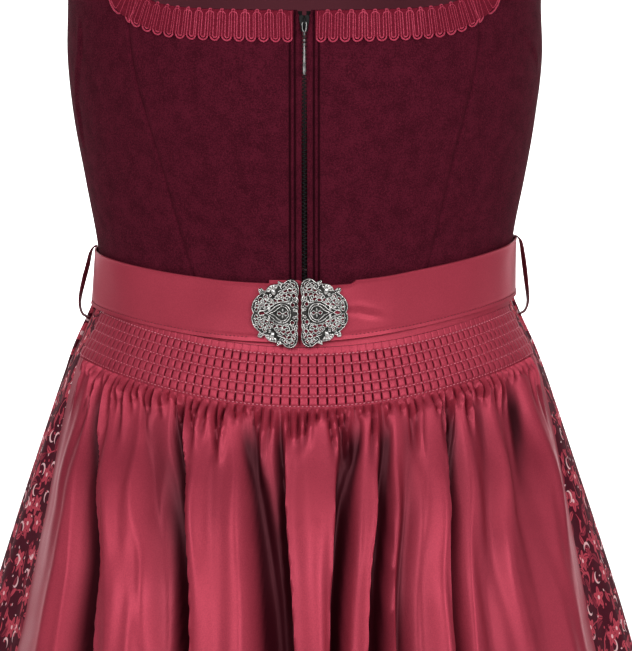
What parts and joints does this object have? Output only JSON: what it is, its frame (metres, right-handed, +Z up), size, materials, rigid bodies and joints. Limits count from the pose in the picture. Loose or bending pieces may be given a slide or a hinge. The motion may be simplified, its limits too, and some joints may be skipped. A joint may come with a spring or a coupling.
{
  "type": "dirndl dress",
  "caption": "Sleeveless front-zip dirndl with braid-trimmed square neck, gathered print skirt, smocked satin apron, and belt with filigree clasp.",
  "frame": {"origin": "midway between the two straps at the height of the shoulder seams, where the wearer's shoulders hold the dress", "axes": "+Z up, -Y to the front of the dress, +X towards the wearer's left"},
  "size_m": [0.6198, 0.5582, 1.0627],
  "materials": {
    "wool": "matte felted wool with fine flecks",
    "braid": "crimson gimp braid with looped cords",
    "satin": "soft crimson satin",
    "print": "printed cotton satin with small flowers and leaves",
    "zip_cloth": "woven black zip tape",
    "zip_hard": "black nylon coil and enamelled slider",
    "silver": "antiqued silver casting"
  },
  "bodies": {
    "garment": {"bodice_front_left": "wool", "bodice_front_right": "wool", "bodice_side_front_left": "wool", "bodice_side_front_right": "wool", "bodice_side_back_left": "wool", "bodice_side_back_right": "wool", "bodice_back": "wool", "neck_trim_front_left": "braid", "neck_trim_front_right": "braid", "neck_trim_back": "braid", "zip_tape_left": "zip_cloth", "zip_tape_right": "zip_cloth", "zip_chain": "zip_hard", "zip_slider": "zip_hard", "skirt_front": "print", "skirt_back": "print", "apron_waistband": "satin", "apron_smocking": "satin", "apron_panel": "satin", "belt": "satin", "belt_under_tab": "satin", "clasp_left": "silver", "clasp_right": "silver", "side_loop_left": "satin", "side_loop_right": "satin"},
    "pull_tab": {"zip_pull": "silver"}
  },
  "joints": [
    {"name": "pull_tab_hinge", "type": "hinge", "parent": "garment", "child": "pull_tab", "pos_m": [0, -0.12979, -0.21964], "axis": [-1, 0, 0], "range_deg": [0, 150]}
  ]
}
